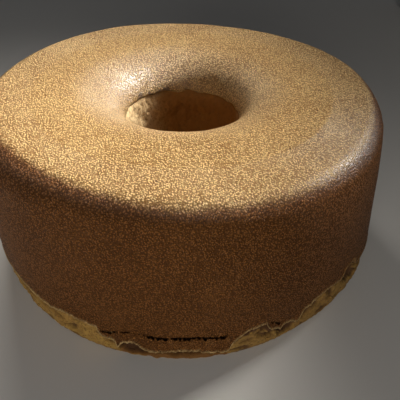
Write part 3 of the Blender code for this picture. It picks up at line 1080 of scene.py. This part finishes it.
def add_area_light(name, azimuth, elevation, distance, target, size, power, colour, spread_angle):
    """A soft light that looks at the target from this azimuth and elevation in degrees."""
    data = bpy.data.lights.new(name, "AREA")
    data.shape = "RECTANGLE"
    data.size, data.size_y = size
    data.energy = power
    data.color = colour
    data.spread = math.radians(spread_angle)
    light = bpy.data.objects.new(name, data)
    tilt = math.radians(elevation)
    direction = around(azimuth, math.cos(tilt), math.sin(tilt))
    light.location = Vector(target) + distance * direction
    light.rotation_euler = direction.to_track_quat("Z", "Y").to_euler()
    bpy.context.scene.collection.objects.link(light)


def add_floor(settings):
    shell = bmesh.new()
    bmesh.ops.create_grid(shell, x_segments=8, y_segments=8, size=4.0)
    material, tree, shader = new_material("pale_floor")
    cloud = noise_value(tree, object_coordinates(tree), 0.30)
    darker = [0.96 * channel for channel in settings.floor_colour]
    plug(tree, shader, {"Base Color": mixed(tree, cloud, settings.floor_colour, darker), "Roughness": 0.9})
    floor = new_object("floor", shell, material)
    floor.location.z = -0.0002


def add_flag(azimuth, distance, width, height):
    """A card that the camera doesn't see, upright on the floor, which keeps the key light off the wall."""
    shell = bmesh.new()
    bmesh.ops.create_grid(shell, x_segments=1, y_segments=1, size=0.5)
    bmesh.ops.scale(shell, verts=shell.verts, vec=(width, height, 1.0))
    for axis, degrees in (("X", 90.0), ("Z", azimuth + 90.0)):
        turn = Matrix.Rotation(math.radians(degrees), 3, axis)
        bmesh.ops.rotate(shell, verts=shell.verts, matrix=turn)
    middle = around(azimuth, distance, 0.5 * height)
    bmesh.ops.translate(shell, verts=shell.verts, vec=middle)
    material, tree, shader = new_material("grey_card")
    plug(tree, shader, {"Base Color": (0.30, 0.29, 0.27), "Roughness": 0.9})
    flag = new_object("flag", shell, material)
    flag.visible_camera = False


def add_world():
    world = bpy.data.worlds.new("studio")
    world.use_nodes = True
    background = world.node_tree.nodes["Background"]
    plug(world.node_tree, background, {"Color": (0.92, 0.95, 1.0), "Strength": 0.05})
    bpy.context.scene.world = world


def add_stage(settings):
    add_camera(settings)
    add_floor(settings)
    add_world()
    add_flag(azimuth=8.0, distance=0.40, width=0.9, height=0.405)
    for name, light in LIGHTS.items():
        add_area_light(name, *light)
    bpy.context.scene.view_settings.view_transform = "Standard"


# -------- operators, panel and running


class POUND_CAKE_OT_add_crust(bpy.types.Operator):
    """Add the browned crust over the CAD cake"""

    bl_idname = "pound_cake.add_crust"
    bl_label = "Add Crust"

    def execute(self, context):
        add_crust(context.scene.cake_crust)
        return {"FINISHED"}


class POUND_CAKE_OT_add_crumb(bpy.types.Operator):
    """Add the crumb that shows at the torn foot and in the hole"""

    bl_idname = "pound_cake.add_crumb"
    bl_label = "Add Crumb"

    def execute(self, context):
        add_crumb(context.scene.cake_crumb, context.scene.cake_crust.thickness)
        return {"FINISHED"}


class POUND_CAKE_OT_add_loose_crumbs(bpy.types.Operator):
    """Add the crumbs that cling to the torn foot"""

    bl_idname = "pound_cake.add_loose_crumbs"
    bl_label = "Add Loose Crumbs"

    def execute(self, context):
        add_loose_crumbs(context.scene.cake_loose_crumbs)
        return {"FINISHED"}


class POUND_CAKE_OT_add_stage(bpy.types.Operator):
    """Add the floor, the soft lights and the camera"""

    bl_idname = "pound_cake.add_stage"
    bl_label = "Add Stage"

    def execute(self, context):
        add_stage(context.scene.cake_stage)
        return {"FINISHED"}


class POUND_CAKE_PT_panel(bpy.types.Panel):
    """Buttons for the cake's pieces and its stage"""

    bl_label = "Pound Cake"
    bl_idname = "POUND_CAKE_PT_panel"
    bl_space_type = "VIEW_3D"
    bl_region_type = "UI"
    bl_category = "Cake"

    def draw(self, context):
        for operator in OPERATORS:
            self.layout.operator(operator.bl_idname)


SETTINGS = {
    "cake_crust": CrustSettings,
    "cake_crumb": CrumbSettings,
    "cake_loose_crumbs": LooseCrumbSettings,
    "cake_stage": StageSettings,
}
OPERATORS = (
    POUND_CAKE_OT_add_crust,
    POUND_CAKE_OT_add_crumb,
    POUND_CAKE_OT_add_loose_crumbs,
    POUND_CAKE_OT_add_stage,
)


def register():
    for name, group in SETTINGS.items():
        bpy.utils.register_class(group)
        setattr(bpy.types.Scene, name, bpy.props.PointerProperty(type=group))
    for operator in OPERATORS:
        bpy.utils.register_class(operator)
    bpy.utils.register_class(POUND_CAKE_PT_panel)


def unregister():
    bpy.utils.unregister_class(POUND_CAKE_PT_panel)
    for operator in reversed(OPERATORS):
        bpy.utils.unregister_class(operator)
    for name, group in reversed(SETTINGS.items()):
        delattr(bpy.types.Scene, name)
        bpy.utils.unregister_class(group)


def write_sizes():
    """Updates the view layer."""
    bpy.context.view_layer.update()


def main():
    register()
    bpy.ops.pound_cake.add_crust()
    bpy.ops.pound_cake.add_crumb()
    bpy.ops.pound_cake.add_loose_crumbs()
    bpy.ops.pound_cake.add_stage()
    write_sizes()


if __name__ == "__main__":
    main()
